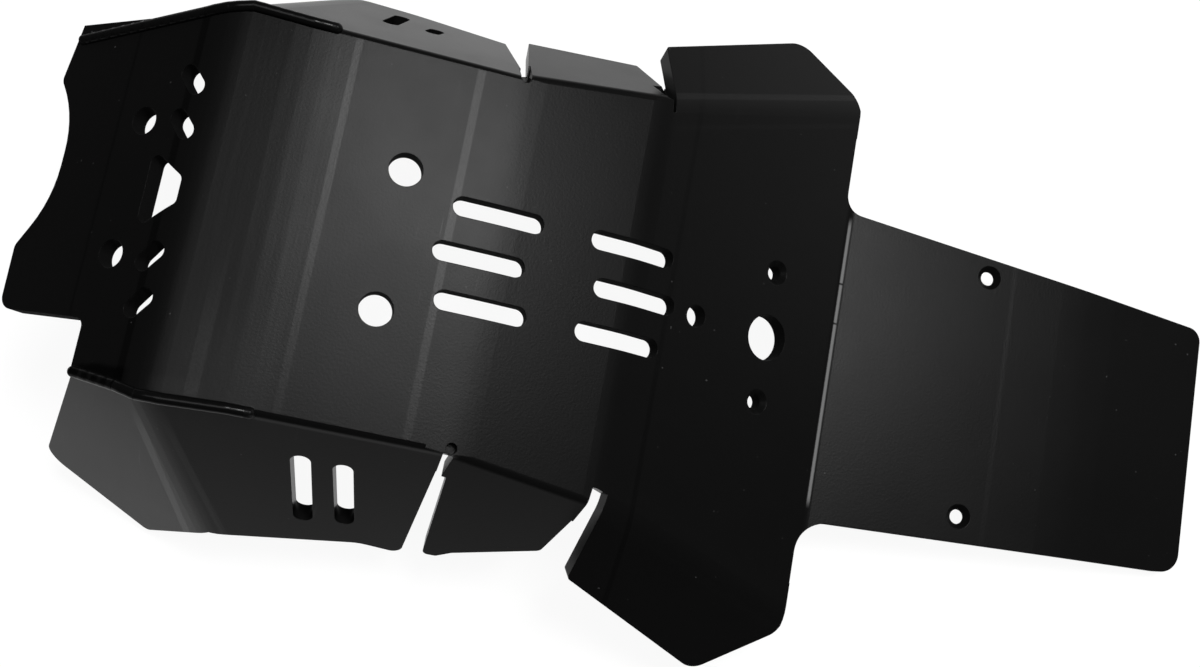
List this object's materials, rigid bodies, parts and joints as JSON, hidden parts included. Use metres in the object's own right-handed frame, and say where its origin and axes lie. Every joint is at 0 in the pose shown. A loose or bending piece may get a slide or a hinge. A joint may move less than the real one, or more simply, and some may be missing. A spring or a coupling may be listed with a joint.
{
  "type": "motorcycle skid plate",
  "caption": "Black plastic skid plate for an enduro motorcycle: a bent tray with side wings, a raised rear tongue, bolt holes and drain slots.",
  "frame": {"origin": "centre of the bounding box in plan, at the level of the lowest points, which are the two front wing tips and the end of the tail", "axes": "+X to the rear end of the plate, +Z out of its ground-facing side, which lies upwards, and +Y to the side without the nose notch"},
  "size_m": [0.5528, 0.3118, 0.1371],
  "materials": {
    "hdpe_sheet": "satin black polyethylene sheet, hot-bent, with a faint orange-peel surface"
  },
  "bodies": {
    "root": {"skid_plate": "hdpe_sheet"}
  },
  "joints": []
}
